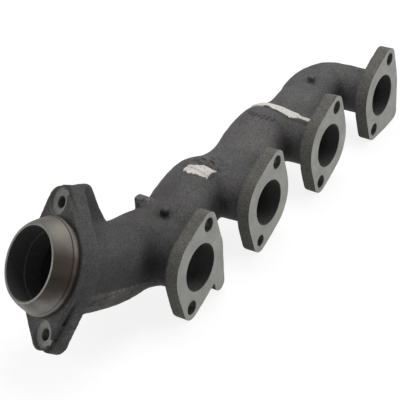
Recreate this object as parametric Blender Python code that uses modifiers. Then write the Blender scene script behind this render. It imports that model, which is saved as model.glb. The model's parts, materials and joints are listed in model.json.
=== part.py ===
"""Exhaust manifold for one bank of a V8: a cast iron log with four ports and a turned outlet.

Metres, +Z up. The origin is the middle of the port row, on the cylinder head's face. X runs
along the row with the outlet at -X, the head lies at -Y and the casting hangs at +Y of its face.

The casting is divided where its features meet, with a narrow gap between neighbours: port
flanges, runners, the elbow and the junctions where runners enter the log, the pipes between
them, the neck, and the outlet flange with its turned seat.
"""
import math

import bmesh
import bpy
from mathutils import Matrix, Vector, geometry

MM = 0.001

# Gap between neighbouring pieces, and how far a cutter runs past what it cuts.
GAP = 0.3 * MM
OVERRUN = 2.0 * MM

# Ports
PORT_COUNT = 4
PORT_PITCH = 100.0 * MM
PORT_BORE_RADIUS = 18.5 * MM
RUNNER_BORE_RADIUS = 16.5 * MM

# Port flanges. The studs lie on a slanted line through the port's centre.
FLANGE_THICKNESS = 10.5 * MM
PORT_LAND = 12.5 * MM
STUD_OFFSET_X = 14.5 * MM
STUD_OFFSET_Z = 28.8 * MM
STUD_HOLE_RADIUS = 5.6 * MM
LOCATING_HOLE_RADIUS = 4.7 * MM
EAR_RADIUS = 10.0 * MM
LOCATING_PORT = 2

# The two end flanges reach out to one side, as feet for the casting to stand on.
FOOT_REACH = 28.0 * MM
FOOT_DROP = 37.2 * MM
FOOT_CORNER_RADIUS = 6.5 * MM
FOOT_TOP_RADIUS = 8.0 * MM

# Runners and log
WALL = 4.8 * MM
RUNNER_RADIUS = RUNNER_BORE_RADIUS + WALL
AXIS_HEIGHT = -1.5 * MM
LOG_SETBACK = 49.5 * MM
LOG_RADIUS = 26.0 * MM
SHOULDER_SETBACK = 58.5 * MM
SHOULDER_RADIUS = 24.0 * MM
SHOULDER_DROP = 1.2 * MM
SWELL_RADIUS = 27.5 * MM
NECK_RADIUS = 31.0 * MM

# A runner ends just short of the log's near side.
RUNNER_SHORT_OF_LOG = 1.5 * MM
RUNNER_END = LOG_SETBACK - LOG_RADIUS - RUNNER_SHORT_OF_LOG

# How much narrower a tube ends than the one it ends inside, so that no end stands out.
TUCK = 1.2 * MM

# Courses of the tubes: stations that a smooth centreline goes through. A station holds a share
# of the port pitch and a further length, both from its port towards the outlet, then how far it
# lies behind the head's face, its height, and the outer radius there.
SHOULDER_HEIGHT = AXIS_HEIGHT - SHOULDER_DROP
RUNNER_COURSE = (
    (0.0, 0.0, 0.0, AXIS_HEIGHT, RUNNER_RADIUS),
    (0.0, 0.0, LOG_SETBACK - 24.0 * MM, AXIS_HEIGHT, RUNNER_RADIUS),
    (0.0, 0.0, LOG_SETBACK - 4.0 * MM, AXIS_HEIGHT, RUNNER_RADIUS + 1.2 * MM),
    (0.0, 0.0, SHOULDER_SETBACK + 1.5 * MM, SHOULDER_HEIGHT, SHOULDER_RADIUS - TUCK),
)
ELBOW_COURSE = (
    (0.0, 0.0, 0.0, AXIS_HEIGHT, RUNNER_RADIUS - 0.5 * MM),
    (0.0, 0.0, LOG_SETBACK - 24.5 * MM, AXIS_HEIGHT, RUNNER_RADIUS - 1.0 * MM),
    (0.0, 1.0 * MM, LOG_SETBACK - 9.5 * MM, AXIS_HEIGHT, RUNNER_RADIUS - 0.5 * MM),
    (0.0, 10.0 * MM, LOG_SETBACK + 2.5 * MM, AXIS_HEIGHT, SHOULDER_RADIUS - 0.5 * MM),
    (0.30, 0.0, LOG_SETBACK + 6.5 * MM, AXIS_HEIGHT, LOG_RADIUS - 1.0 * MM),
    (0.55, 0.0, LOG_SETBACK + 2.5 * MM, AXIS_HEIGHT, LOG_RADIUS - 1.0 * MM),
    (0.84, 0.0, LOG_SETBACK, AXIS_HEIGHT, LOG_RADIUS - 1.5 * MM),
    (1.0, 0.0, LOG_SETBACK, AXIS_HEIGHT, RUNNER_RADIUS - TUCK),
)
LOG_COURSE = (
    (0.0, 0.0, SHOULDER_SETBACK, SHOULDER_HEIGHT, SHOULDER_RADIUS - 2.0 * TUCK),
    (0.16, 0.0, SHOULDER_SETBACK - 1.0 * MM, AXIS_HEIGHT, SWELL_RADIUS - 0.8 * MM),
    (0.35, 0.0, SHOULDER_SETBACK - 2.5 * MM, AXIS_HEIGHT, SWELL_RADIUS),
    (0.52, 0.0, LOG_SETBACK + 2.0 * MM, AXIS_HEIGHT, LOG_RADIUS + 0.5 * MM),
    (0.68, 0.0, LOG_SETBACK, AXIS_HEIGHT, LOG_RADIUS),
    (0.84, 0.0, LOG_SETBACK, AXIS_HEIGHT, LOG_RADIUS - 0.5 * MM),
    (1.0, 0.0, LOG_SETBACK, AXIS_HEIGHT, RUNNER_RADIUS - TUCK),
)
NECK_COURSE = (
    (-0.44, 0.0, LOG_SETBACK + 2.0 * MM, AXIS_HEIGHT, LOG_RADIUS - 2.0 * TUCK),
    (-0.28, 0.0, LOG_SETBACK + 3.0 * MM, AXIS_HEIGHT, LOG_RADIUS + 0.4 * MM),
    (-0.12, 0.0, LOG_SETBACK + 4.0 * MM, AXIS_HEIGHT, LOG_RADIUS + 0.4 * MM),
    (0.0, 10.0 * MM, LOG_SETBACK + 5.5 * MM, AXIS_HEIGHT + 2.5 * MM, NECK_RADIUS - 2.6 * MM),
    (0.0, 35.0 * MM, LOG_SETBACK + 7.5 * MM, AXIS_HEIGHT + 7.5 * MM, NECK_RADIUS - 0.6 * MM),
)

# The neck's last bend lies behind the outlet flange and a little off the outlet's axis.
NECK_BEND_BEHIND_FLANGE = 19.0 * MM
NECK_BEND_SHIFT = Vector((0.0, 3.5 * MM, 4.0 * MM))
NECK_BEND_SWELL = 0.5 * MM
NECK_INSIDE_FLANGE = 8.0 * MM

# Ball that rounds the back of each shoulder
SHOULDER_BALL_SHIFT_X = 0.5 * MM
SHOULDER_BALL_SHIFT_Y = 1.0 * MM

# Where a junction ends, on each side of its port.
JUNCTION_UPSTREAM = 13.0 * MM
JUNCTION_DOWNSTREAM = 24.0 * MM

# Outlet: the axis points out of the manifold. Its bolt line is square to the axis.
OUTLET_CENTRE_BEYOND_PORT = 100.0 * MM
OUTLET_SETBACK = 77.0 * MM
OUTLET_HEIGHT = 40.0 * MM
OUTLET_AXIS = Vector((-0.762, 0.3415, 0.548)).normalized()
OUTLET_BOLT_LINE = Vector((0.636, 0.242, 0.733))

# Turned seat in front of the outlet flange. Lengths run back from its rim.
SEAT_RIM_RADIUS = 28.8 * MM
SEAT_BORE_RADIUS = 27.2 * MM
SEAT_LENGTH = 19.0 * MM
SEAT_BEAD_END = 15.5 * MM
SEAT_BEAD_LENGTH = 1.5 * MM
SEAT_NECK_RADIUS = 34.0 * MM
SEAT_BASE_RADIUS = 36.5 * MM
OUTLET_BORE_RADIUS = 25.0 * MM

# Outlet flange: a pad in front, and a wider web behind it that stiffens the ears
OUTLET_FLANGE_THICKNESS = 18.0 * MM
OUTLET_WEB_THICKNESS = 8.0 * MM
OUTLET_FLANGE_RADIUS = 38.5 * MM
OUTLET_BOLT_REACH = 47.7 * MM
OUTLET_HOLE_RADIUS = 4.3 * MM
OUTLET_EAR_RADIUS = 13.0 * MM
OUTLET_WEB_LIP = 2.0 * MM
SPOT_FACE_RADIUS = 10.5 * MM
SPOT_FACE_DEPTH = 3.0 * MM
UPPER_GUSSET_LENGTH = 26.0 * MM
LOWER_GUSSET_LENGTH = 10.0 * MM
GUSSET_THICKNESS = 13.0 * MM
GUSSET_CORNER = 2.5 * MM
GUSSET_SINK = 3.1 * MM

# Small cast features on the log
BOSS_SIZE = (8.0 * MM, 14.0 * MM, 18.0 * MM)
BOSS_UPSTREAM_OF_PORT = 26.0 * MM
BOSS_BEHIND_LOG_AXIS = 18.2 * MM
BOSS_CORNER = 2.0 * MM
PIP_RADIUS = 3.2 * MM
PIP_TOP_RADIUS = 2.2 * MM
PIP_HEIGHT = 3.0 * MM
PAD_HEIGHT = 1.4 * MM
PAD_WIDTH = 9.0 * MM
LONG_PAD_LENGTH = 56.0 * MM
LONG_PAD_BEHIND_FLANGE = 5.0 * MM
LONG_PAD_SHIFT = 2.0 * MM
SHORT_PAD_LENGTH = 26.0 * MM
SHORT_PAD_BEFORE_SHOULDER = 18.2 * MM
SHORT_PAD_SHARE_OF_PITCH = 0.18

# Each pip: its port, a share of the pitch and a length from there towards the outlet, how far
# it lies behind the head's face, how far from the log's axis, and its lean in radians.
PIPS = {
    "cast_pip_1": (1, 0.0, -18.0 * MM, LOG_SETBACK + 4.0 * MM, LOG_RADIUS + 1.0 * MM, -0.42),
    "cast_pip_2": (PORT_COUNT, 0.43, 0.0, LOG_SETBACK + 5.0 * MM, LOG_RADIUS - 1.0 * MM, -0.25),
}

# Facets around a tube, a ball, a hole and a turned part, and steps along a course and a seat
TUBE_BEVEL_RESOLUTION = 8
COURSE_STEPS = 2
BALL_SEGMENTS = 24
HOLE_SEGMENTS = 20
BORE_SEGMENTS = 40
SPOT_FACE_SEGMENTS = 32
TURNED_STEPS = 48
SEAT_STEPS = 6
OUTLINE_SEGMENTS = 28
WELD_DISTANCE = 0.01 * MM
SHARP_ANGLE = math.radians(35.0)
QUARTER_TURN = math.radians(90.0)


# ---------------------------------------------------------------- scene and materials

def clear_scene():
    """Remove what the scene holds."""
    for obj in list(bpy.data.objects):
        bpy.data.objects.remove(obj, do_unlink=True)


def new_collection(name):
    collection = bpy.data.collections.new(name)
    bpy.context.scene.collection.children.link(collection)
    return collection


def principled(name, colour, roughness, metallic):
    """A Principled material with one colour."""
    material = bpy.data.materials.new(name)
    material.use_nodes = True
    shader = material.node_tree.nodes["Principled BSDF"]
    shader.inputs["Base Color"].default_value = (*colour, 1.0)
    shader.inputs["Roughness"].default_value = roughness
    shader.inputs["Metallic"].default_value = metallic
    return material


clear_scene()
PARTS = new_collection("exhaust_manifold")
CUTTERS = new_collection("cutters")
CAST_IRON = principled("cast_iron", (0.13, 0.13, 0.13), 0.75, 0.3)
MACHINED_IRON = principled("machined_iron", (0.26, 0.26, 0.25), 0.45, 0.6)
TURNED_IRON = principled("turned_iron", (0.28, 0.26, 0.23), 0.3, 0.8)
PAINT = principled("paint_mark", (0.72, 0.7, 0.66), 0.8, 0.0)


# ---------------------------------------------------------------- mesh tools

def mesh_from(build, name):
    """A mesh that build fills in."""
    shape = bmesh.new()
    build(shape)
    mesh = bpy.data.meshes.new(name)
    shape.to_mesh(mesh)
    shape.free()
    return mesh


def place(name, mesh, material=None, matrix=None):
    """A part with its material, or a hidden cutter where no material is given."""
    obj = bpy.data.objects.new(name, mesh)
    if matrix is not None:
        obj.matrix_world = matrix
    if material is None:
        CUTTERS.objects.link(obj)
        obj.hide_render = True
        obj.display_type = "WIRE"
    else:
        PARTS.objects.link(obj)
        mesh.materials.clear()
        mesh.materials.append(material)
        mesh.shade_smooth()
        mesh.set_sharp_from_angle(angle=SHARP_ANGLE)
    return obj


def boolean(obj, cutter, operation):
    modifier = obj.modifiers.new(cutter.name, "BOOLEAN")
    modifier.object = cutter
    modifier.operation = operation
    modifier.solver = "EXACT"


def evaluated_mesh(obj, name):
    """The object's mesh with its modifiers or its bevel, with the caps welded on."""
    bpy.context.view_layer.update()
    graph = bpy.context.evaluated_depsgraph_get()
    mesh = bpy.data.meshes.new_from_object(obj.evaluated_get(graph))
    mesh.name = name
    shape = bmesh.new()
    shape.from_mesh(mesh)
    bmesh.ops.remove_doubles(shape, verts=shape.verts, dist=WELD_DISTANCE)
    shape.to_mesh(mesh)
    shape.free()
    return mesh


def from_curve(name, curve, material=None, matrix=None):
    """Turn curve data into a mesh object."""
    guide = bpy.data.objects.new(name + "_guide", curve)
    CUTTERS.objects.link(guide)
    mesh = evaluated_mesh(guide, name)
    bpy.data.objects.remove(guide)
    return place(name, mesh, material, matrix)


def box(name, low, high, material=None, matrix=None):
    """A box between two corners."""
    size = Vector(high) - Vector(low)
    middle = (Vector(high) + Vector(low)) / 2.0
    scale = Matrix.Diagonal((*size, 1.0))

    def build(shape):
        bmesh.ops.create_cube(shape, size=1.0, matrix=Matrix.Translation(middle) @ scale)

    return place(name, mesh_from(build, name), material, matrix)


def cone(name, radius_low, radius_high, low, high, matrix, material=None, segments=HOLE_SEGMENTS):
    """A cone or cylinder along the matrix's Z, from low to high."""
    def build(shape):
        bmesh.ops.create_cone(shape, cap_ends=True, segments=segments, radius1=radius_low,
                              radius2=radius_high, depth=high - low,
                              matrix=Matrix.Translation((0.0, 0.0, (low + high) / 2.0)))

    return place(name, mesh_from(build, name), material, matrix)


def slab(name, circles, low, high, material, matrix, hull_of_each=None):
    """A flat plate round circles, given as x, y, radius in the matrix's XY plane.

    hull_of_each names the circles in each hull; the plate is their union.
    """
    plates = []
    for number, group in enumerate(hull_of_each or [range(len(circles))]):
        points = []
        for index in group:
            x, y, radius = circles[index]
            for step in range(OUTLINE_SEGMENTS):
                turn = 2.0 * math.pi * step / OUTLINE_SEGMENTS
                points.append(Vector((x + radius * math.cos(turn), y + radius * math.sin(turn))))
        outline = [points[index] for index in geometry.convex_hull_2d(points)]
        curve = bpy.data.curves.new(name, "CURVE")
        curve.dimensions = "2D"
        curve.fill_mode = "BOTH"
        curve.extrude = (high - low) / 2.0
        spline = curve.splines.new("POLY")
        spline.points.add(len(outline) - 1)
        for point, corner in zip(spline.points, outline):
            point.co = (corner.x, corner.y, 0.0, 1.0)
        spline.use_cyclic_u = True
        lift = matrix @ Matrix.Translation((0.0, 0.0, (low + high) / 2.0))
        first = number == 0
        plate_name = name if first else f"{name}_plate_{number}"
        plates.append(from_curve(plate_name, curve, material if first else None, lift))
    for extra in plates[1:]:
        boolean(plates[0], extra, "UNION")
    return plates[0]


def turned(name, profile, material, matrix):
    """A closed outline of radius and height turned round the matrix's Z."""
    mesh = bpy.data.meshes.new(name)
    corners = [(radius, 0.0, height) for radius, height in profile]
    sides = [(index, (index + 1) % len(corners)) for index in range(len(corners))]
    mesh.from_pydata(corners, sides, [])
    obj = place(name, mesh, material, matrix)
    screw = obj.modifiers.new("turn", "SCREW")
    screw.steps = TURNED_STEPS
    screw.render_steps = TURNED_STEPS
    screw.use_merge_vertices = True
    screw.merge_threshold = WELD_DISTANCE
    return obj


# ---------------------------------------------------------------- where things are

def port_x(port):
    """Ports are numbered from the outlet, 1 to PORT_COUNT."""
    return (port - (PORT_COUNT + 1) / 2.0) * PORT_PITCH


def head_frame(port):
    """At a port's centre on the head's face: X along the row, Y up, Z towards the head."""
    turn = Matrix.Rotation(QUARTER_TURN, 4, "X")
    return Matrix.Translation((port_x(port), 0.0, 0.0)) @ turn


def outlet_frame():
    """At the rim's centre: X up the bolt line, Z out of the manifold."""
    z_axis = OUTLET_AXIS
    x_axis = (OUTLET_BOLT_LINE - z_axis * OUTLET_BOLT_LINE.dot(z_axis)).normalized()
    y_axis = z_axis.cross(x_axis)
    turn = Matrix((x_axis, y_axis, z_axis)).transposed().to_4x4()
    centre = (port_x(1) - OUTLET_CENTRE_BEYOND_PORT, OUTLET_SETBACK, OUTLET_HEIGHT)
    return Matrix.Translation(centre) @ turn


OUTLET = outlet_frame()
OUTLET_FLANGE_FRONT = -(SEAT_LENGTH + GAP)
OUTLET_FLANGE_BACK = OUTLET_FLANGE_FRONT - OUTLET_FLANGE_THICKNESS


# ---------------------------------------------------------------- tubes

def smooth_stations(stations):
    """Points and radii on a Catmull-Rom curve through the stations."""
    ends = [tuple(2.0 * a - b for a, b in zip(stations[0], stations[1]))]
    tail = [tuple(2.0 * a - b for a, b in zip(stations[-1], stations[-2]))]
    row = ends + list(stations) + tail
    smooth = []
    for index in range(1, len(row) - 2):
        before, start, end, after = row[index - 1:index + 3]
        for step in range(COURSE_STEPS):
            t = step / COURSE_STEPS
            smooth.append(tuple(
                0.5 * (2.0 * b + (c - a) * t + (2.0 * a - 5.0 * b + 4.0 * c - d) * t ** 2
                       + (3.0 * b - a - 3.0 * c + d) * t ** 3)
                for a, b, c, d in zip(before, start, end, after)))
    smooth.append(stations[-1])
    return smooth


def tube(name, stations, growth):
    """A round tube of changing radius through x, y, z, radius stations."""
    curve = bpy.data.curves.new(name, "CURVE")
    curve.dimensions = "3D"
    curve.bevel_depth = 1.0
    curve.bevel_resolution = TUBE_BEVEL_RESOLUTION
    curve.use_fill_caps = True
    spline = curve.splines.new("POLY")
    route = smooth_stations(stations)
    spline.points.add(len(route) - 1)
    for point, (x, y, z, radius) in zip(spline.points, route):
        point.co = (x, y, z, 1.0)
        point.radius = radius + growth
    return from_curve(name, curve)


def ball(name, centre, radius):
    def build(shape):
        bmesh.ops.create_uvsphere(shape, u_segments=BALL_SEGMENTS,
                                  v_segments=BALL_SEGMENTS // 2, radius=radius)

    return place(name, mesh_from(build, name), None, Matrix.Translation(centre))


def stations_from(port, course):
    """A course's stations, placed from a port."""
    x = port_x(port)
    return [(x - share * PORT_PITCH - length, setback, height, radius)
            for share, length, setback, height, radius in course]


def neck_stations():
    """From the log behind port 1 round to the outlet, which it meets square on."""
    flange_back = OUTLET @ Vector((0.0, 0.0, OUTLET_FLANGE_BACK))
    bend = OUTLET @ Vector((0.0, 0.0, OUTLET_FLANGE_BACK - NECK_BEND_BEHIND_FLANGE))
    mouth = OUTLET @ Vector((0.0, 0.0, OUTLET_FLANGE_BACK + NECK_INSIDE_FLANGE))
    return stations_from(1, NECK_COURSE) + [
        (*(bend + NECK_BEND_SHIFT), NECK_RADIUS + NECK_BEND_SWELL),
        (*flange_back, NECK_RADIUS),
        (*mouth, NECK_RADIUS),
    ]


def routes():
    """Every tube of the casting, with the neck last."""
    tubes = {"elbow": stations_from(PORT_COUNT, ELBOW_COURSE)}
    for port in range(PORT_COUNT - 1, 0, -1):
        tubes[f"runner_{port}"] = stations_from(port, RUNNER_COURSE)
    for port in range(PORT_COUNT - 1, 1, -1):
        tubes[f"log_{port}"] = stations_from(port, LOG_COURSE)
    tubes["neck"] = neck_stations()
    return tubes


def gas_way(stations):
    """The same route inside the wall, never tighter than a runner's bore."""
    return [(x, y, z, max(radius - WALL, RUNNER_BORE_RADIUS)) for x, y, z, radius in stations]


def joined(name, pieces):
    """One hidden solid from overlapping ones."""
    for piece in pieces[1:]:
        boolean(pieces[0], piece, "UNION")
    mesh = evaluated_mesh(pieces[0], name)
    for piece in pieces:
        bpy.data.objects.remove(piece)
    return place(name, mesh)


def casting(name, growth, change=lambda stations: stations, ball_radius=SHOULDER_RADIUS):
    """The tubes in one solid, with a ball at each shoulder."""
    pieces = [tube(f"{name}_{key}", change(stations), growth)
              for key, stations in routes().items()]
    for port in range(2, PORT_COUNT):
        centre = (port_x(port) + SHOULDER_BALL_SHIFT_X, SHOULDER_SETBACK + SHOULDER_BALL_SHIFT_Y,
                  SHOULDER_HEIGHT)
        pieces.append(ball(f"{name}_shoulder_{port}", centre, ball_radius + growth))
    return joined(name, pieces)


# ---------------------------------------------------------------- pieces of the casting

REACH = 80.0 * MM
RUNNER_HALF_WIDTH = RUNNER_RADIUS + 4.0 * MM
OUTLINE = casting("outline", 0.0)
CLEARANCE = casting("clearance", GAP)
CORE = casting("core", 0.0, gas_way, SHOULDER_RADIUS - WALL)
BEHIND_OUTLET = box("outlet_side", (-REACH, -REACH, OUTLET_FLANGE_BACK - GAP),
                    (REACH, REACH, REACH), None, OUTLET)


def cast_piece(name, low, high, without=()):
    """The part of the hollow casting between two corners, less some cutters."""
    obj = place(name, OUTLINE.data.copy(), CAST_IRON)
    boolean(obj, box(name + "_region", low, high), "INTERSECT")
    for cutter in without:
        boolean(obj, cutter, "DIFFERENCE")
    boolean(obj, CORE, "DIFFERENCE")
    return obj


def runner_room(port, growth):
    """The box that holds a runner between its flange and the log."""
    x = port_x(port)
    low = (x - RUNNER_HALF_WIDTH - growth, FLANGE_THICKNESS + GAP - growth, -REACH)
    high = (x + RUNNER_HALF_WIDTH + growth, RUNNER_END + growth, REACH)
    return low, high


RUNNER_ROOMS = {port: box(f"runner_room_{port}", *runner_room(port, GAP))
                for port in range(1, PORT_COUNT + 1)}


def make_runners():
    for port in range(1, PORT_COUNT + 1):
        cast_piece(f"runner_{port}", *runner_room(port, 0.0))


def make_log():
    """Elbow, junctions and pipes, from the closed end to the neck."""
    last = port_x(PORT_COUNT)
    front = FLANGE_THICKNESS + GAP
    back = 2.0 * REACH
    end = last - JUNCTION_DOWNSTREAM
    cast_piece("end_elbow", (end, front, -REACH), (last + REACH, back, REACH),
               [RUNNER_ROOMS[PORT_COUNT]])
    for port in range(PORT_COUNT - 1, 0, -1):
        x = port_x(port)
        cast_piece(f"log_pipe_{port}", (x + JUNCTION_UPSTREAM + GAP, front, -REACH),
                   (x + PORT_PITCH - JUNCTION_DOWNSTREAM - GAP, back, REACH),
                   [RUNNER_ROOMS[port], RUNNER_ROOMS[port + 1]])
        cast_piece(f"junction_{port}", (x - JUNCTION_DOWNSTREAM, front, -REACH),
                   (x + JUNCTION_UPSTREAM, back, REACH), [RUNNER_ROOMS[port]])
    start = port_x(1) - JUNCTION_DOWNSTREAM - GAP
    cast_piece("outlet_neck", (start - 2.0 * REACH, front, -REACH), (start, back, 2.0 * REACH),
               [RUNNER_ROOMS[1], BEHIND_OUTLET])


# ---------------------------------------------------------------- port flanges

def flange_outline(port):
    """Circles round the bore and the two studs, and a foot on the end flanges."""
    circles = [
        (0.0, 0.0, PORT_BORE_RADIUS + PORT_LAND),
        (STUD_OFFSET_X, STUD_OFFSET_Z, EAR_RADIUS),
        (-STUD_OFFSET_X, -STUD_OFFSET_Z, EAR_RADIUS),
    ]
    corner = (FOOT_REACH - FOOT_CORNER_RADIUS, FOOT_CORNER_RADIUS - FOOT_DROP, FOOT_CORNER_RADIUS)
    if port == 1:
        top = (FOOT_REACH - FOOT_TOP_RADIUS, FOOT_TOP_RADIUS / 2.0, FOOT_TOP_RADIUS)
        return circles + [corner, top], [(0, 1, 2), (3, 4)]
    if port == PORT_COUNT:
        return circles + [corner], [(0, 1, 2, 3)]
    return circles, None


def make_port_flanges():
    """Plates that bolt to the head, with a tapered port and two stud holes each."""
    for port in range(1, PORT_COUNT + 1):
        frame = head_frame(port)
        circles, hulls = flange_outline(port)
        flange = slab(f"port_flange_{port}", circles, -FLANGE_THICKNESS, 0.0,
                      MACHINED_IRON, frame, hulls)
        throat = frame @ Matrix.Translation((0.0, AXIS_HEIGHT / 2.0, 0.0))
        taper = (PORT_BORE_RADIUS - RUNNER_BORE_RADIUS) / FLANGE_THICKNESS
        bore = cone(f"port_bore_{port}", RUNNER_BORE_RADIUS - taper * OVERRUN,
                    PORT_BORE_RADIUS + taper * OVERRUN, -FLANGE_THICKNESS - OVERRUN, OVERRUN,
                    throat, segments=BORE_SEGMENTS)
        boolean(flange, bore, "DIFFERENCE")
        for side in (1.0, -1.0):
            located = port == LOCATING_PORT and side < 0.0
            radius = LOCATING_HOLE_RADIUS if located else STUD_HOLE_RADIUS
            stud = frame @ Matrix.Translation((side * STUD_OFFSET_X, side * STUD_OFFSET_Z, 0.0))
            hole = cone(f"stud_hole_{port}_{'upper' if side > 0.0 else 'lower'}", radius, radius,
                        -FLANGE_THICKNESS - OVERRUN, OVERRUN, stud)
            boolean(flange, hole, "DIFFERENCE")


# ---------------------------------------------------------------- outlet

def make_outlet_seat():
    """A turned collar with a convex seat outside and a plain bore."""
    profile = [(SEAT_BORE_RADIUS, 0.0), (SEAT_RIM_RADIUS, 0.0)]
    seat_depth = SEAT_BEAD_END - SEAT_BEAD_LENGTH
    for step in range(1, SEAT_STEPS + 1):
        share = step / SEAT_STEPS
        bulge = math.sin(share * QUARTER_TURN)
        radius = SEAT_RIM_RADIUS + (SEAT_BASE_RADIUS - SEAT_RIM_RADIUS) * bulge
        profile.append((radius, -seat_depth * share))
    profile.append((SEAT_BASE_RADIUS, -SEAT_BEAD_END))
    profile.append((SEAT_NECK_RADIUS, -SEAT_BEAD_END))
    profile.append((SEAT_NECK_RADIUS, -SEAT_LENGTH))
    profile.append((SEAT_BORE_RADIUS, -SEAT_LENGTH))
    turned("outlet_seat", profile, TURNED_IRON, OUTLET)


def make_outlet_flange():
    """A thick two-bolt flange, bored through, with a spot face at each tapped hole."""
    circles = [
        (0.0, 0.0, OUTLET_FLANGE_RADIUS - OUTLET_WEB_LIP),
        (OUTLET_BOLT_REACH, 0.0, OUTLET_EAR_RADIUS),
        (-OUTLET_BOLT_REACH, 0.0, OUTLET_EAR_RADIUS),
    ]
    flange = slab("outlet_flange", circles, OUTLET_FLANGE_BACK + GAP, OUTLET_FLANGE_FRONT,
                  CAST_IRON, OUTLET)
    wider = [(x, y, radius + OUTLET_WEB_LIP) for x, y, radius in circles]
    web = slab("outlet_web", wider, OUTLET_FLANGE_BACK, OUTLET_FLANGE_BACK + OUTLET_WEB_THICKNESS,
               None, OUTLET)
    boolean(flange, web, "UNION")
    bore = cone("outlet_bore", OUTLET_BORE_RADIUS, OUTLET_BORE_RADIUS,
                OUTLET_FLANGE_BACK - OVERRUN, OUTLET_FLANGE_FRONT + OVERRUN, OUTLET,
                segments=BORE_SEGMENTS)
    boolean(flange, bore, "DIFFERENCE")
    for side in (1.0, -1.0):
        end = "upper" if side > 0.0 else "lower"
        bolt = OUTLET @ Matrix.Translation((side * OUTLET_BOLT_REACH, 0.0, 0.0))
        hole = cone(f"outlet_hole_{end}", OUTLET_HOLE_RADIUS, OUTLET_HOLE_RADIUS,
                    OUTLET_FLANGE_BACK - OVERRUN, OUTLET_FLANGE_FRONT + OVERRUN, bolt)
        spot = cone(f"spot_face_{end}", SPOT_FACE_RADIUS, SPOT_FACE_RADIUS,
                    OUTLET_FLANGE_FRONT - SPOT_FACE_DEPTH, OUTLET_FLANGE_FRONT + OVERRUN, bolt,
                    segments=SPOT_FACE_SEGMENTS)
        boolean(flange, spot, "DIFFERENCE")
        boolean(flange, hole, "DIFFERENCE")


def make_gussets():
    """A web from the back of each ear down to the neck, longer on the upper side."""
    back = OUTLET_FLANGE_BACK - GAP
    turn = OUTLET @ Matrix.Rotation(QUARTER_TURN, 4, "X")
    for end, side, length, tip in (
            ("upper", 1.0, UPPER_GUSSET_LENGTH, OUTLET_BOLT_REACH + OUTLET_EAR_RADIUS),
            ("lower", -1.0, LOWER_GUSSET_LENGTH, OUTLET_BOLT_REACH + SPOT_FACE_RADIUS / 2.0)):
        circles = [
            (side * (tip - GUSSET_CORNER), back - GUSSET_CORNER, GUSSET_CORNER),
            (side * (NECK_RADIUS - GUSSET_SINK), back - GUSSET_CORNER, GUSSET_CORNER),
            (side * (NECK_RADIUS - GUSSET_SINK), back - length, GUSSET_CORNER),
            (side * (NECK_RADIUS + GUSSET_CORNER), back - length, GUSSET_CORNER),
        ]
        gusset = slab(f"gusset_{end}", circles, -GUSSET_THICKNESS / 2.0, GUSSET_THICKNESS / 2.0,
                      CAST_IRON, turn)
        boolean(gusset, CLEARANCE, "DIFFERENCE")


# ---------------------------------------------------------------- small cast features

def surface_frame(centre, radius, lean):
    """On the log's surface: X along the log, Z outwards, leaning from up towards the back."""
    turn = Matrix.Rotation(-lean, 4, "X")
    return Matrix.Translation(centre) @ turn @ Matrix.Translation((0.0, 0.0, radius))


def make_boss():
    """A square bracket boss on the back of the log, between ports 1 and 2."""
    width, depth, height = BOSS_SIZE
    x = port_x(1) + BOSS_UPSTREAM_OF_PORT
    y = LOG_SETBACK + BOSS_BEHIND_LOG_AXIS
    top = AXIS_HEIGHT + SWELL_RADIUS
    boss = box("bracket_boss", (x - width / 2.0, y - depth / 2.0, top - height),
               (x + width / 2.0, y + depth / 2.0, top), CAST_IRON)
    bevel = boss.modifiers.new("cast_corners", "BEVEL")
    bevel.width = BOSS_CORNER
    bevel.segments = 2
    boolean(boss, CLEARANCE, "DIFFERENCE")


def make_pips():
    """Round ejector marks that the foundry left standing on the log."""
    for name, (port, share, length, setback, radius, lean) in PIPS.items():
        x = port_x(port) - share * PORT_PITCH - length
        frame = surface_frame((x, setback, AXIS_HEIGHT), radius, lean)
        pip = cone(name, PIP_RADIUS, PIP_TOP_RADIUS, -PIP_HEIGHT, PIP_HEIGHT, frame, CAST_IRON)
        boolean(pip, CLEARANCE, "DIFFERENCE")


def make_pads():
    """Raised pads with a paint mark, one along runner 3 and one on the log after port 2."""
    skin = casting("pad_skin", GAP + PAD_HEIGHT)
    long_start = FLANGE_THICKNESS + LONG_PAD_BEHIND_FLANGE
    short_start = SHOULDER_SETBACK - SHORT_PAD_BEFORE_SHOULDER
    short_x = port_x(2) - SHORT_PAD_SHARE_OF_PITCH * PORT_PITCH
    pads = {
        "paint_pad_3": (port_x(3) - LONG_PAD_SHIFT, long_start, LONG_PAD_LENGTH),
        "paint_pad_2": (short_x, short_start, SHORT_PAD_LENGTH),
    }
    for name, (x, low, length) in pads.items():
        pad = place(name, skin.data.copy(), PAINT)
        room = box(name + "_room", (x - PAD_WIDTH / 2.0, low, AXIS_HEIGHT + RUNNER_BORE_RADIUS),
                   (x + PAD_WIDTH / 2.0, low + length, REACH))
        boolean(pad, room, "INTERSECT")
        boolean(pad, CLEARANCE, "DIFFERENCE")


make_port_flanges()
make_runners()
make_log()
make_outlet_seat()
make_outlet_flange()
make_gussets()
make_boss()
make_pips()
make_pads()
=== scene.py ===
"""Looks of a cast iron exhaust manifold: four flanged ports on a bent log, and a turned outlet."""
import json

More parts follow.
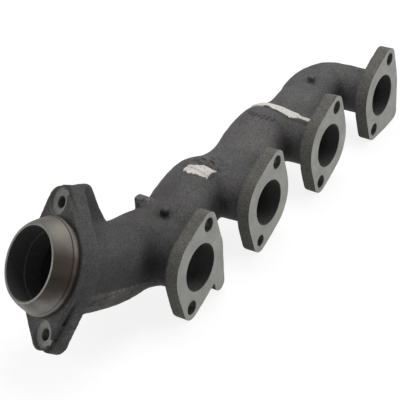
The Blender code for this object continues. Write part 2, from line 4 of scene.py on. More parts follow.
import bmesh
import bpy
import numpy as np
from mathutils import Euler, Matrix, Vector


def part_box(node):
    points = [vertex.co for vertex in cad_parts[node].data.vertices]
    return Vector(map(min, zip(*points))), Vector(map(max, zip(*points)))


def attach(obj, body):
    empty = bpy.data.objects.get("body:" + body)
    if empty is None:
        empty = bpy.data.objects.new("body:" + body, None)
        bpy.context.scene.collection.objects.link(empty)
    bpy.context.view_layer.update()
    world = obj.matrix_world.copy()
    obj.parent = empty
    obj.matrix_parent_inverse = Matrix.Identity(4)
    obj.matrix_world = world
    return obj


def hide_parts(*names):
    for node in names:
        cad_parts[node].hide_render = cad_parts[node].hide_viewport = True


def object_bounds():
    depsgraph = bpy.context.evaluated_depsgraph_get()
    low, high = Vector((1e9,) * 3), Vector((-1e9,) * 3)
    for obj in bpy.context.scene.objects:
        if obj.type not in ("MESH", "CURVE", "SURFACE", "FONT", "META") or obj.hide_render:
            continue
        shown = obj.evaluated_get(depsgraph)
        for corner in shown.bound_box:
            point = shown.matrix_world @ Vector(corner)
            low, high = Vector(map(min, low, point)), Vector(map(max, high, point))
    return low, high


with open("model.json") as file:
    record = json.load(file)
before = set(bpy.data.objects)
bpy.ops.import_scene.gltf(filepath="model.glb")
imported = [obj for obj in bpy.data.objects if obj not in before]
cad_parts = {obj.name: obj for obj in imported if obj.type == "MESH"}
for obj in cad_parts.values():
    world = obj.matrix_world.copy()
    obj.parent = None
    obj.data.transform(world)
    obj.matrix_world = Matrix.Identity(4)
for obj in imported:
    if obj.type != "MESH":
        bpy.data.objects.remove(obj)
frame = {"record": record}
cad_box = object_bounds()
MM = 0.001
scene = bpy.context.scene


# ------------------------------------------------------------------ camera, floor and light
# A long lens looks down the port row from the outlet end. The manifold rests on a pale floor
# under three broad soft lights: overhead, from the head's side and from beyond the outlet.

camera = bpy.data.objects.new("camera", bpy.data.cameras.new("camera"))
camera.data.lens = 117.88
camera.location = (-0.7946, -0.4564, 0.5690)
camera.rotation_euler = Euler(np.radians((57.077, 3.176, -56.969)))
scene.collection.objects.link(camera)
scene.camera = camera
scene.view_settings.view_transform = "Standard"

FLOOR_REACH = 6.0
floor_height = cad_box[0][2] - 0.5 * MM
floor_corners = [(x * FLOOR_REACH, y * FLOOR_REACH, floor_height)
                 for x, y in ((-1, -1), (1, -1), (1, 1), (-1, 1))]
floor_mesh = bpy.data.meshes.new("floor")
floor_mesh.from_pydata(floor_corners, [], [(0, 1, 2, 3)])
floor = bpy.data.objects.new("floor", floor_mesh)
scene.collection.objects.link(floor)


def linear(hex_colour):
    """An sRGB hex colour as linear red, green, blue and 1: each part is divided by 12.92 where
    it is dark, and raised to the power 2.4 after an offset elsewhere."""
    parts = [int(hex_colour[place:place + 2], 16) / 255.0 for place in (1, 3, 5)]
    turned = [part / 12.92 if part <= 0.04045 else ((part + 0.055) / 1.055) ** 2.4
              for part in parts]
    return (*turned, 1.0)


def add(tree, kind, inputs=None, **settings):
    """Add a shader node; an input is a number, a colour or another node's socket."""
    made = tree.nodes.new("ShaderNode" + kind)
    for name, value in settings.items():
        setattr(made, name, value)
    for name, value in (inputs or {}).items():
        if isinstance(value, bpy.types.NodeSocket):
            tree.links.new(value, made.inputs[name])
        else:
            made.inputs[name].default_value = value
    return made


def new_material(name):
    """A material with its tree and its Principled shader."""
    material = bpy.data.materials.new(name)
    material.use_nodes = True
    return material, material.node_tree, material.node_tree.nodes["Principled BSDF"]


def object_place(tree):
    """The place on the object, in millimetres."""
    coordinate = add(tree, "TexCoord")
    scaled = add(tree, "VectorMath", {0: coordinate.outputs["Object"], "Scale": 1.0 / MM},
                 operation="SCALE")
    return scaled.outputs[0]


# Light table: matt white paper lit from under, which leaves only a faint shadow. The glow is
# kept from bouncing back on to the casting.
FLOOR_GLOW = 0.86
paper, tree, shader = new_material("light_table")
ray = add(tree, "LightPath")
glow = add(tree, "Math", {0: ray.outputs["Is Diffuse Ray"], 1: -FLOOR_GLOW, 2: FLOOR_GLOW},
           operation="MULTIPLY_ADD")
tree.links.new(glow.outputs[0], shader.inputs["Emission Strength"])
shader.inputs["Base Color"].default_value = linear("#858585")
shader.inputs["Emission Color"].default_value = linear("#ffffff")
shader.inputs["Roughness"].default_value = 0.95
shader.inputs["Specular IOR Level"].default_value = 0.0
floor_mesh.materials.append(paper)

# Room: white behind the object, and dim for the light that falls on it.
ROOM_LIGHT = 0.18
world = bpy.data.worlds.new("dim_room")
world.use_nodes = True
tree = world.node_tree
ray = add(tree, "LightPath")
room = add(tree, "Math", {0: ray.outputs["Is Camera Ray"], 1: 1.0 - ROOM_LIGHT, 2: ROOM_LIGHT},
           operation="MULTIPLY_ADD")
tree.links.new(room.outputs[0], tree.nodes["Background"].inputs["Strength"])
tree.nodes["Background"].inputs["Color"].default_value = linear("#ffffff")
scene.world = world


LIT_MIDDLE = np.array((-0.05, 0.05, 0.0))


def soft_light(name, place, size, power):
    """A square area light turned to face the middle of the manifold: it is tipped from straight
    down by the angle of the line to the middle, and turned by that line's bearing."""
    data = bpy.data.lights.new(name, "AREA")
    data.shape = "SQUARE"
    data.size = size
    data.energy = power
    light = bpy.data.objects.new(name, data)
    light.location = place
    x, y, z = LIT_MIDDLE - np.array(place)
    light.rotation_euler = Euler((np.arctan2(np.hypot(x, y), -z), 0.0, np.arctan2(-x, y)))
    scene.collection.objects.link(light)


soft_light("overhead", (0.55, 0.2, 1.2), 0.9, 9.6)
soft_light("from_head_side", (0.95, -1.1, 0.68), 0.8, 8.0)
soft_light("from_outlet_side", (-1.4, 0.6, 0.7), 0.9, 6.5)


# ------------------------------------------------------------------ casting body
# One grey iron casting, poured in sand round a core: runners, end elbow, junctions, log pipes
# and neck in a wall about 5 mm thick, with the outlet flange, its webs, a bracket boss and two
# foundry pips. Its skin is rough, its corners are filleted, and the gas way inside is dark.

def box_mm(node):
    """The low and the high corner of a CAD node's box, in millimetres."""
    low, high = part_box(node)
    return np.array(low) / MM, np.array(high) / MM


def mount(name):
    """A mount's point, in millimetres, and its axis."""
    found = next(item for item in frame["record"]["mounts"] if item["name"] == name)
    return np.array(found["pos_m"]) / MM, np.array(found["axis"])


PORTS = [sum(box_mm(f"runner_{port}"))[0] / 2.0 for port in (1, 2, 3, 4)]
PITCH = PORTS[1] - PORTS[0]
AXIS_HEIGHT = -1.5
LOG_SETBACK = 49.5
SHOULDER_SETBACK = 58.5
RUNNER_RADIUS = 21.3
LOG_RADIUS = 26.0
SHOULDER_RADIUS = 24.0
SWELL_RADIUS = 27.5
NECK_RADIUS = 31.0
WALL = 4.8
RUNNER_BORE = 16.5

upper_stud, OUTLET_AXIS = mount("outlet_stud_face_upper")
lower_stud, _ = mount("outlet_stud_face_lower")
BOLT_LINE = (upper_stud - lower_stud) / np.linalg.norm(upper_stud - lower_stud)
ACROSS_BOLTS = np.cross(OUTLET_AXIS, BOLT_LINE)
STUD_FACE_DEPTH = 22.3
RIM_CENTRE = (upper_stud + lower_stud) / 2.0 + OUTLET_AXIS * STUD_FACE_DEPTH
OUTLET_FRONT = 19.3
OUTLET_BACK = 37.3
OUTLET_BOLT_REACH = 47.7


def from_outlet(along_bolts, across, depth):
    """A place given by the outlet's own directions, with depth back from the rim."""
    return RIM_CENTRE + along_bolts * BOLT_LINE + across * ACROSS_BOLTS - depth * OUTLET_AXIS


def smooth_route(stations, steps=5):
    """Rows of x, y, z, radius on the Catmull-Rom curve through the stations."""
    stations = np.array(stations, float)
    row = np.vstack([2 * stations[0] - stations[1], stations, 2 * stations[-1] - stations[-2]])
    a, b, c, d = (row[shift:len(row) - 3 + shift, None] for shift in range(4))
    t = (np.arange(steps) / steps)[None, :, None]
    curve = 0.5 * (2 * b + (c - a) * t + (2 * a - 5 * b + 4 * c - d) * t ** 2
                   + (3 * b - a - 3 * c + d) * t ** 3)
    return np.vstack([curve.reshape(-1, 4), stations[-1:]])


def runner_route(x):
    """A runner, straight back from its flange and a little wider at its shoulder."""
    return smooth_route([
        (x, -4.0, AXIS_HEIGHT, RUNNER_RADIUS),
        (x, 25.0, AXIS_HEIGHT, RUNNER_RADIUS),
        (x, LOG_SETBACK - 4.0, AXIS_HEIGHT, RUNNER_RADIUS + 1.2),
        (x, SHOULDER_SETBACK + 1.0, AXIS_HEIGHT - 1.2, SHOULDER_RADIUS)])


def log_route(x, hump):
    """A log pipe, whose swell stands up and back by the hump."""
    return smooth_route([
        (x, SHOULDER_SETBACK, AXIS_HEIGHT - 1.2, SHOULDER_RADIUS - 2.0),
        (x - 0.12 * PITCH, SHOULDER_SETBACK - 0.2 + hump, AXIS_HEIGHT + 0.8 + hump,
         SWELL_RADIUS - 0.2),
        (x - 0.35 * PITCH, SHOULDER_SETBACK - 2.5 + hump, AXIS_HEIGHT + hump, SWELL_RADIUS),
        (x - 0.52 * PITCH, LOG_SETBACK + 3.0 + hump, AXIS_HEIGHT + 1.0 + hump,
         LOG_RADIUS + 0.5),
        (x - 0.68 * PITCH, LOG_SETBACK, AXIS_HEIGHT, LOG_RADIUS),
        (x - 0.84 * PITCH, LOG_SETBACK, AXIS_HEIGHT, LOG_RADIUS - 0.5),
        (x - PITCH, LOG_SETBACK, AXIS_HEIGHT, RUNNER_RADIUS - 1.2)])


def elbow_route(x):
    """The end runner, which bends round into the log and goes on to the next runner."""
    return smooth_route([
        (x, -4.0, AXIS_HEIGHT, RUNNER_RADIUS - 0.5),
        (x, 25.0, AXIS_HEIGHT, RUNNER_RADIUS - 1.0),
        (x - 1.0, LOG_SETBACK - 9.5, AXIS_HEIGHT, RUNNER_RADIUS - 0.5),
        (x - 10.0, LOG_SETBACK + 2.5, AXIS_HEIGHT, SHOULDER_RADIUS - 0.5),
        (x - 0.30 * PITCH, LOG_SETBACK + 6.5, AXIS_HEIGHT, LOG_RADIUS - 1.0),
        (x - 0.55 * PITCH, LOG_SETBACK + 2.5, AXIS_HEIGHT, LOG_RADIUS - 1.0),
        (x - 0.84 * PITCH, LOG_SETBACK, AXIS_HEIGHT, LOG_RADIUS - 1.5),
        (x - PITCH, LOG_SETBACK, AXIS_HEIGHT, RUNNER_RADIUS - 1.2)])


def neck_route(x):
    """The log's end, which widens past port 1 and bends up on to the outlet's axis."""
    bend = from_outlet(0.0, 0.0, OUTLET_BACK + 19.0)
    return smooth_route([
        (x + 0.44 * PITCH, LOG_SETBACK + 2.0, AXIS_HEIGHT, LOG_RADIUS - 2.4),
        (x + 0.28 * PITCH, LOG_SETBACK + 3.0, AXIS_HEIGHT, LOG_RADIUS + 0.4),
        (x + 0.12 * PITCH, LOG_SETBACK + 4.0, AXIS_HEIGHT, LOG_RADIUS + 0.4),
        (x - 10.0, LOG_SETBACK + 5.5, AXIS_HEIGHT + 2.5, NECK_RADIUS - 2.6),
        (x - 35.0, LOG_SETBACK + 7.5, AXIS_HEIGHT + 7.5, NECK_RADIUS - 0.6),
        (bend[0], bend[1] + 3.5, bend[2] + 4.0, NECK_RADIUS + 0.5),
        (*from_outlet(0.0, 0.0, OUTLET_BACK), NECK_RADIUS),
        (*from_outlet(0.0, 0.0, OUTLET_BACK - 8.0), NECK_RADIUS)])


LOG_HUMPS = {2: 0.6, 3: -0.8}
ROUTES = {"elbow": elbow_route(PORTS[3]), "neck": neck_route(PORTS[0]),
          "runner_1": runner_route(PORTS[0])}
for port, hump in LOG_HUMPS.items():
    ROUTES[f"runner_{port}"] = runner_route(PORTS[port - 1])
    ROUTES[f"log_{port}"] = log_route(PORTS[port - 1], hump)


def tube_distance(places, route, thinner=0.0):
    """Distance outside a tube: over its short legs, the least of the distance to the leg's
    line less the radius there, which changes evenly along the leg."""
    least = np.full(len(places), np.inf)
    for start, end in zip(route[:-1], route[1:]):
        leg = end[:3] - start[:3]
        along = np.clip((places - start[:3]) @ leg / (leg @ leg), 0.0, 1.0)
        gap = np.linalg.norm(places - start[:3] - along[:, None] * leg, axis=1)
        radius = start[3] + along * (end[3] - start[3]) - thinner
        least = np.minimum(least, gap - np.maximum(radius, RUNNER_BORE) if thinner
                           else gap - radius)
    return least


def fillet(one, other, width):
    """Union with a fillet: the lesser distance, less the square of how far the two come within
    a width of each other, over four widths."""
    close = np.maximum(width - np.abs(one - other), 0.0)
    return np.minimum(one, other) - close ** 2 / (4.0 * width)


def rounded_both(one, other, width):
    """The space inside both shapes, with the edge between them rounded."""
    return -fillet(-one, -other, width)


def hull_distance(across, up, circles, directions=72):
    """Distance outside a band stretched round circles: the greatest, over directions, of how
    far a place lies past the furthest circle edge that way."""
    furthest = np.full(len(across), -np.inf)
    for turn in np.arange(directions) * 2.0 * np.pi / directions:
        reach_that_way = max(x * np.cos(turn) + y * np.sin(turn) + radius
                             for x, y, radius in circles)
        furthest = np.maximum(furthest,
                              across * np.cos(turn) + up * np.sin(turn) - reach_that_way)
    return furthest


STUD_X = 14.5
STUD_Z = 28.8
PORT_BORE = 18.5
PORT_LAND = 12.5
EAR_RADIUS = 10.0
FLANGE_BACK = 11.6
HALF_BLANK = 8.0
FLANGE_SEAM = box_mm("port_flange_1")[1][1] - 0.7
FOOT_X = box_mm("port_flange_1")[1][0] - PORTS[0]
FOOT_Z = -37.2
# Circles of X, Z and radius that a band is stretched round to give a plate's outline.
LOWER_EAR = (-STUD_X, -STUD_Z, EAR_RADIUS)
PLATE = [(0.0, 0.0, PORT_BORE + PORT_LAND), (STUD_X, STUD_Z, EAR_RADIUS), LOWER_EAR]
FOOT = [(FOOT_X - 6.5, FOOT_Z + 6.5, 6.5), (FOOT_X - 8.0, 4.0, 8.0)]


def port_flange_distance(places, port):
    """A plate round the bore and the two studs, cast thicker than it is after milling. The foot
    of the first stands apart, and the last plate's outline takes its foot's corner in."""
    across = places[:, 0] - PORTS[port - 1]
    up = places[:, 2]
    outline = hull_distance(across, up, PLATE + FOOT[:1] if port == 4 else PLATE)
    if port == 1:
        outline = fillet(outline, hull_distance(across, up, FOOT), 2.0)
    through = np.abs(places[:, 1] - FLANGE_BACK + HALF_BLANK) - HALF_BLANK
    return rounded_both(outline, through, 1.6)


OUTLET_RADIUS = 37.0
OUTLET_EAR = 13.2
HALF_WEB = 6.5
# Circles across the outlet's axis, first along the bolts, then across them.
WHOLE_FLANGE = [(0.0, 0.0, OUTLET_RADIUS), (OUTLET_BOLT_REACH, 0.0, OUTLET_EAR),
                (-OUTLET_BOLT_REACH, 0.0, OUTLET_EAR)]
# The lower ear is narrow on one side between its pad and its web, which leaves a groove.
WAISTED_FLANGE = [(0.0, 0.0, OUTLET_RADIUS), (OUTLET_BOLT_REACH, 0.0, OUTLET_EAR),
                  (-OUTLET_BOLT_REACH, 4.6, 8.6)]
# The front of each ear is a rim that stands up round the far side of the spot face only.
RIMMED_FLANGE = [(0.0, 0.0, OUTLET_RADIUS), (OUTLET_BOLT_REACH, 1.6, 11.6),
                 (-OUTLET_BOLT_REACH, 1.6, 11.6)]
# Each layer's circles, and the depths of its front and its back behind the rim.
FLANGE_LAYERS = [(RIMMED_FLANGE, OUTLET_FRONT, 23.4), (WAISTED_FLANGE, 22.8, 27.5),
                 (WHOLE_FLANGE, 26.0, 35.4)]
# The webs' circles lie in the plane of the two bolts: along the bolts, then depth.
UPPER_WEB = [(54.8, 31.0, 5.2), (58.0, 39.6, 6.2), (49.3, 46.5, 5.0), (24.0, 30.0, 5.0),
             (24.0, 48.0, 5.0)]
UPPER_HEEL = [(46.2, 49.0, 4.6), (38.2, 56.4, 4.7), (22.0, 36.0, 5.0), (22.0, 58.0, 5.0)]
LOWER_WEB = [(-50.0, 32.0, 5.0), (-24.0, 32.0, 5.0), (-24.0, 44.0, 5.0)]


def outlet_flange_distance(places):
    """Layers of plate with two ears, joined by fillets, and a web from each ear's back down to
    the neck."""
    rel = places - RIM_CENTRE
    along, across, depth = rel @ BOLT_LINE, rel @ ACROSS_BOLTS, -(rel @ OUTLET_AXIS)
    flange = np.full(len(places), np.inf)
    for circles, front, back in FLANGE_LAYERS:
        outline = hull_distance(along, across, circles)
        through = np.abs(depth - (front + back) / 2.0) - (back - front) / 2.0
        flange = fillet(flange, rounded_both(outline, through, 1.3), 1.0)
    side = np.abs(across) - HALF_WEB
    upper = fillet(hull_distance(along, depth, UPPER_WEB), hull_distance(along, depth, UPPER_HEEL),
                   2.0)
    lower = hull_distance(along, depth, LOWER_WEB)
    flange = fillet(flange, rounded_both(upper, side, 3.0), 3.5)
    return fillet(flange, rounded_both(lower, side, 3.0), 3.5)


BOSS_ROOT = 6.0
BOSS_EDGE = 2.4


def boss_distance(places):
    """A box with round edges, rooted in the log: the distance outside a smaller box, less the
    edge radius."""
    low, high = box_mm("bracket_boss")
    low[2] -= BOSS_ROOT
    out = np.abs(places - (low + high) / 2.0) - (high - low) / 2.0 + BOSS_EDGE
    return (np.linalg.norm(np.maximum(out, 0.0), axis=1)
            + np.minimum(out.max(axis=1), 0.0) - BOSS_EDGE)


PIP_RADIUS = 3.7
HALF_PIP = 3.8


def pip_distance(places, node):
    """A stub cylinder square to the log at the pip's place, with a soft top edge: the space
    inside both its round side and its two ends."""
    low, high = box_mm(node)
    centre = (low + high) / 2.0
    root = np.array((centre[0], LOG_SETBACK + 4.5, AXIS_HEIGHT))
    out_axis = (centre - root) / np.linalg.norm(centre - root)
    rel = places - centre
    height = rel @ out_axis
    side = np.linalg.norm(rel - height[:, None] * out_axis, axis=1) - PIP_RADIUS
    return rounded_both(side, np.abs(height - 0.6) - HALF_PIP, 0.7)


def unevenness(places):
    """Slow waves of the sand mould's surface: a sum of sines in unlike directions, each with
    its turns per millimetre, its start and its height."""
    waves = [((0.31, 0.17, 0.23), 0.3, 0.06), ((-0.19, 0.37, 0.11), 1.7, 0.06),
             ((0.53, -0.29, 0.41), 4.1, 0.04), ((-0.61, 0.47, -0.35), 2.2, 0.03),
             ((0.95, 0.71, -0.83), 5.3, 0.02)]
    return sum(size * np.sin(places @ np.array(way) + start) for way, start, size in waves)


def eased(value, low, high):
    """0 below low, 1 above high, and between them three shares squared less two cubed."""
    share = np.clip((value - low) / (high - low), 0.0, 1.0)
    return share * share * (3.0 - 2.0 * share)


PARTING_LOW_END = -6.2
PARTING_SLOPE = 0.33
MOULD_SHIFT = 0.35


def parting_height(x):
    """Height of the mould's parting line, which climbs evenly along the neck to the outlet."""
    return PARTING_LOW_END + PARTING_SLOPE * (PORTS[0] - RUNNER_RADIUS - x)


def under_parting(places):
    """How far each place lies under the parting line, and 1 where the line shows: on the neck,
    clear of the outlet flange and of the first port's flange."""
    x, y = places[:, 0], places[:, 1]
    on_neck = (eased(-x, 6.0 - PORTS[0], 20.0 - PORTS[0]) * eased(x, -240.0, -230.0)
               * eased(y, 13.0, 19.0))
    return parting_height(x) - places[:, 2], on_neck


def flash_height(places, under):
    """The thin fin that crept along the parting line: a bell across it, uneven along it."""
    x = places[:, 0]
    uneven = 1.0 + 0.7 * np.sin(0.43 * x) * np.sin(0.17 * x + 1.0) + 0.3 * np.sin(1.1 * x)
    return np.exp(-((under - 0.4) / 0.9) ** 2) * uneven


def mould_shift(places):
    """The lower half of the mould stood out a little, and iron crept along the parting line."""
    under, on_neck = under_parting(places)
    return on_neck * (MOULD_SHIFT * eased(under, -0.5, 0.5) + 0.5 * flash_height(places, under))


def wrinkles(places):
    """Height of the laps where the iron ran cold round the short paint pad: two crossed sines,
    each bent by the other axis, under a bell that dies away from the pad."""
    low, high = box_mm("paint_pad_2")
    spot = np.array((high[0] + 8.0, low[1] + 10.0, high[2]))
    away = (places - spot) / np.array((13.0, 20.0, 12.0))
    near = np.exp(-(away ** 2).sum(axis=1) * 1.6)
    x, y = places[:, 0], places[:, 1]
    folds = np.sin(0.75 * x + 1.3 * np.sin(0.31 * y)) * np.sin(0.42 * y + 1.1 * np.sin(0.5 * x))
    return 0.95 * near * np.maximum(folds, -0.5) * (places[:, 2] > 0.0)


PAD_RAISE = 1.2


def casting_distance(places):
    """The whole solid casting, before its core and its machining: every part's distance, each
    joined to the rest with the fillet that it has there."""
    shoulder = {port: np.linalg.norm(
        places - np.array((PORTS[port - 1] + 0.5, SHOULDER_SETBACK + 1.0, AXIS_HEIGHT - 1.2)),
        axis=1) - SHOULDER_RADIUS for port in (2, 3)}
    tubes = {key: tube_distance(places, route) for key, route in ROUTES.items()}
    limb_3 = fillet(np.minimum(tubes["runner_3"], shoulder[3]), tubes["log_3"], 2.5)
    limb_2 = fillet(np.minimum(tubes["runner_2"], shoulder[2]),
                    fillet(tubes["log_2"], tubes["neck"], 1.5), 2.5)
    body = fillet(fillet(tubes["elbow"], limb_3, 5.5), limb_2, 5.5)
    body = fillet(body, tubes["runner_1"], 9.0)
    for node in ("paint_pad_2", "paint_pad_3"):
        low, high = box_mm(node)
        room = np.maximum(np.abs(places[:, 0] - (low + high)[0] / 2) - (high - low)[0] / 2,
                          np.abs(places[:, 1] - (low + high)[1] / 2) - (high - low)[1] / 2)
        room = np.maximum(room, -places[:, 2])
        body = fillet(body, rounded_both(body - PAD_RAISE, room, 1.0), 0.8)
    for port in (1, 2, 3, 4):
        body = fillet(body, port_flange_distance(places, port), 5.0)
    body = fillet(body, outlet_flange_distance(places), 5.0)
    body = fillet(body, boss_distance(places), 1.8)
    for node in ("cast_pip_1", "cast_pip_2"):
        body = fillet(body, pip_distance(places, node), 0.6)
    return body + unevenness(places) - mould_shift(places) - wrinkles(places)


def core_distance(places):
    """The gas way: every tube less the wall, joined with fillets."""
    least = np.full(len(places), np.inf)
    for route in ROUTES.values():
        least = fillet(least, tube_distance(places, route, thinner=WALL), 4.0)
    return least


def ring_rows(route, sides=24):
    """Corners of a tube: round each station, the centre plus the radius times a direction
    that turns once in the plane square to the route."""
    centres, radii = route[:, :3], route[:, 3]
    heading = np.gradient(centres, axis=0)
    heading /= np.linalg.norm(heading, axis=1)[:, None]
    side = np.cross(heading, (0.05, 0.03, 1.0))
    side /= np.linalg.norm(side, axis=1)[:, None]
    other = np.cross(heading, side)
    turn = np.arange(sides) * 2.0 * np.pi / sides
    return (centres[:, None] + radii[:, None, None]
            * (np.cos(turn)[None, :, None] * side[:, None]
               + np.sin(turn)[None, :, None] * other[:, None]))


def grid_faces(rows, sides):
    """Quads between the rows of a closed tube, wound to face outwards, and its two caps."""
    row, side = np.meshgrid(np.arange(rows - 1), np.arange(sides), indexing="ij")
    after = (side + 1) % sides
    quads = np.stack([row * sides + side, row * sides + after,
                      (row + 1) * sides + after, (row + 1) * sides + side], axis=-1)
    caps = [list(range(sides))[::-1], list(range((rows - 1) * sides, rows * sides))]
    return quads.reshape(-1, 4).tolist() + caps


def new_mesh(name, corners, faces):
    """A mesh from corners in millimetres."""
    mesh = bpy.data.meshes.new(name)
    mesh.from_pydata((np.asarray(corners) * MM).tolist(), [], faces)
    mesh.validate()
    return mesh


def outward(mesh):
    """Turn every face of a closed mesh outwards."""
    shape = bmesh.new()
    shape.from_mesh(mesh)
    bmesh.ops.recalc_face_normals(shape, faces=shape.faces)
    shape.to_mesh(mesh)
    shape.free()
    return mesh


def joined_tubes(name, routes):
    """One mesh of overlapping closed tubes, their corners stacked one tube after another."""
    corners, faces, count = [], [], 0
    for route in routes:
        rows = ring_rows(route)
        corners.append(rows.reshape(-1, 3))
        faces += [[index + count for index in face]
                  for face in grid_faces(rows.shape[0], rows.shape[1])]
        count += rows.shape[0] * rows.shape[1]
    return outward(new_mesh(name, np.vstack(corners), faces))


def hull_outline(circles, sides=72):
    """The band round circles, walked by the direction that its edge faces: each corner is on
    the circle that reaches furthest that way."""
    turn = np.arange(sides) * 2.0 * np.pi / sides
    facing = np.stack([np.cos(turn), np.sin(turn)], axis=1)
    centres = np.array([circle[:2] for circle in circles])
    radii = np.array([circle[2] for circle in circles])
    furthest = (facing @ centres.T + radii).argmax(axis=1)
    return centres[furthest] + radii[furthest, None] * facing


def slab_rows(circles, origin, x_axis, y_axis, levels):
    """Outline corners at each level along the plate's thickness."""
    outline = hull_outline(circles)
    z_axis = np.cross(x_axis, y_axis)
    flat = outline[:, :1] * x_axis + outline[:, 1:] * y_axis
    return np.stack([origin + flat + level * z_axis for level in levels])


def corner_places(mesh):
    """A mesh's corners as rows of x, y and z, in millimetres."""
    flat = np.empty(len(mesh.vertices) * 3)
    mesh.vertices.foreach_get("co", flat)
    return flat.reshape(-1, 3) / MM


SLOPE_STEP = 0.05
LONGEST_SLIDE = 2.5


def skin(name, rough_mesh, distance, voxel, rounds=3):
    """A closed skin on a distance function's zero: the rough mesh is made even by a voxel
    remesh, then each corner slides along the slope of the distance until it is nought."""
    obj = bpy.data.objects.new(name, rough_mesh)
    scene.collection.objects.link(obj)
    remesh = obj.modifiers.new("even", "REMESH")
    remesh.mode = "VOXEL"
    remesh.voxel_size = voxel * MM
    graph = bpy.context.evaluated_depsgraph_get()
    mesh = bpy.data.meshes.new_from_object(obj.evaluated_get(graph))
    bpy.data.objects.remove(obj)
    places = corner_places(mesh)
    for _ in range(rounds):
        here = distance(places)
        slope = np.stack([(distance(places + SLOPE_STEP * axis) - here) / SLOPE_STEP
                          for axis in np.eye(3)], axis=1)
        steep = np.maximum((slope ** 2).sum(axis=1), 0.25)
        slide = np.clip(here / steep, -LONGEST_SLIDE, LONGEST_SLIDE)
        places = places - slide[:, None] * slope
    mesh.vertices.foreach_set("co", (places * MM).ravel())
    mesh.update()
    return mesh


# The rough shapes under the skin: closed tubes and plates that overlap where they join. The
# plates reach forward past the milled face by the blank's spare.
RIGHT = np.array((1.0, 0.0, 0.0))
BACK = np.array((0.0, 1.0, 0.0))
UP = np.array((0.0, 0.0, 1.0))
BLANK_SPARE = 3.5
rough = bmesh.new()
rough.from_mesh(joined_tubes("rough_tubes", ROUTES.values()))
plates = []
for port, x in enumerate(PORTS, 1):
    outlines = {1: [PLATE, FOOT], 4: [PLATE, FOOT + [LOWER_EAR]]}.get(port, [PLATE])
    for circles in outlines:
        plates.append(slab_rows(circles, x * RIGHT, RIGHT, UP, (-FLANGE_BACK, BLANK_SPARE)))
for circles, front, back in FLANGE_LAYERS:
    plates.append(slab_rows(circles, RIM_CENTRE, BOLT_LINE, ACROSS_BOLTS, (-back, -front)))
for web in (UPPER_WEB, UPPER_HEEL, LOWER_WEB):
    plates.append(slab_rows(web, RIM_CENTRE, BOLT_LINE, -OUTLET_AXIS, (-HALF_WEB, HALF_WEB)))
low, high = box_mm("bracket_boss")
square = [(low[0] + 1, low[1] + 1, 1.0), (high[0] - 1, low[1] + 1, 1.0),
          (high[0] - 1, high[1] - 1, 1.0), (low[0] + 1, high[1] - 1, 1.0)]
plates.append(slab_rows(square, np.zeros(3), RIGHT, BACK, (low[2] - BOSS_ROOT, high[2])))
for node in ("cast_pip_1", "cast_pip_2"):
    low, high = box_mm(node)
    centre = (low + high) / 2.0
    plates.append(slab_rows([(centre[0], centre[1], 3.1)], np.zeros(3), RIGHT, BACK,
                            (centre[2] - 6.0, centre[2] + 3.0)))
for rows in plates:
    plate = outward(new_mesh("plate", rows.reshape(-1, 3), grid_faces(*rows.shape[:2])))
    rough.from_mesh(plate)
rough_mesh = bpy.data.meshes.new("rough")
rough.to_mesh(rough_mesh)
rough.free()

# Sand-cast grey iron: dull and dark, with the grain of the sand, slow lighter clouds, and a
# little red where it has rusted in the open. The flanges' edges are cleaner and lighter. Real
# sand is about 0.5 mm, and its grain is drawn coarser here so that it shows.
SAND_GRAIN = 1.3
CLOUD = 22.0
RUST_PATCH = 38.0
sand_cast, tree, shader = new_material("sand_cast_iron")
place = object_place(tree)
grain = add(tree, "TexNoise", {"Vector": place, "Scale": 1.0 / SAND_GRAIN, "Detail": 3.0,
                               "Roughness": 0.65})
clouds = add(tree, "TexNoise", {"Vector": place, "Scale": 1.0 / CLOUD, "Detail": 3.0,
                                "Roughness": 0.6})
rust = add(tree, "TexNoise", {"Vector": place, "Scale": 1.0 / RUST_PATCH, "Detail": 2.0,
                              "Distortion": 0.6})
tone = add(tree, "ValToRGB", {"Fac": clouds.outputs["Fac"]})
tone.color_ramp.elements[0].position = 0.32
tone.color_ramp.elements[0].color = linear("#575757")
tone.color_ramp.elements[1].position = 0.70
tone.color_ramp.elements[1].color = linear("#6a6a69")
rust_part = add(tree, "MapRange", {"Value": rust.outputs["Fac"], "From Min": 0.52,
                                   "From Max": 0.75, "To Max": 0.35})
reddish = add(tree, "Mix", {"Factor": rust_part.outputs[0], 6: tone.outputs["Color"],
                            7: linear("#6e6263")}, data_type="RGBA")
axes = add(tree, "SeparateXYZ", {0: place})
at_edge = add(tree, "MapRange", {"Value": axes.outputs["Y"], "From Min": 9.0, "From Max": 14.0,
                                 "To Min": 0.55, "To Max": 0.0})
edged = add(tree, "Mix", {"Factor": at_edge.outputs[0], 6: reddish.outputs[2],
                          7: linear("#75736b")}, data_type="RGBA")
# The piece's own attribute holds where it was fettled, where flash was left, and how much
# painted shade it takes: in hollows and creases, round the ticks' feet, and darkening towards
# the outlet. Fettling leaves streaks along the neck.
weathering_and_shade = add(tree, "Attribute", attribute_name="weathering_and_shade")
weather_and_shade = add(tree, "SeparateXYZ", {0: weathering_and_shade.outputs["Vector"]})
scratch = add(tree, "VectorMath", {0: place, 1: (0.25, 1.0, 1.2)}, operation="MULTIPLY")
streaks = add(tree, "TexNoise", {"Vector": scratch.outputs[0], "Scale": 0.16, "Detail": 3.0,
                                 "Roughness": 0.7})
bared_and_lit = add(tree, "ValToRGB", {"Fac": streaks.outputs["Fac"]})
bared_and_lit.color_ramp.elements[0].position = 0.42
bared_and_lit.color_ramp.elements[0].color = linear("#565555")
bared_and_lit.color_ramp.elements[1].position = 0.74
bared_and_lit.color_ramp.elements[1].color = linear("#aeaca6")
# The fettled tone also paints the bracket boss lighter, standing in for light on its face.
fettled_and_lit = add(tree, "Mix", {"Factor": weather_and_shade.outputs["X"], 6: edged.outputs[2],
                            7: bared_and_lit.outputs["Color"]}, data_type="RGBA")
flashed = add(tree, "Mix", {"Factor": weather_and_shade.outputs["Y"], 6: fettled_and_lit.outputs[2],
                            7: linear("#c4c0ba")}, data_type="RGBA")
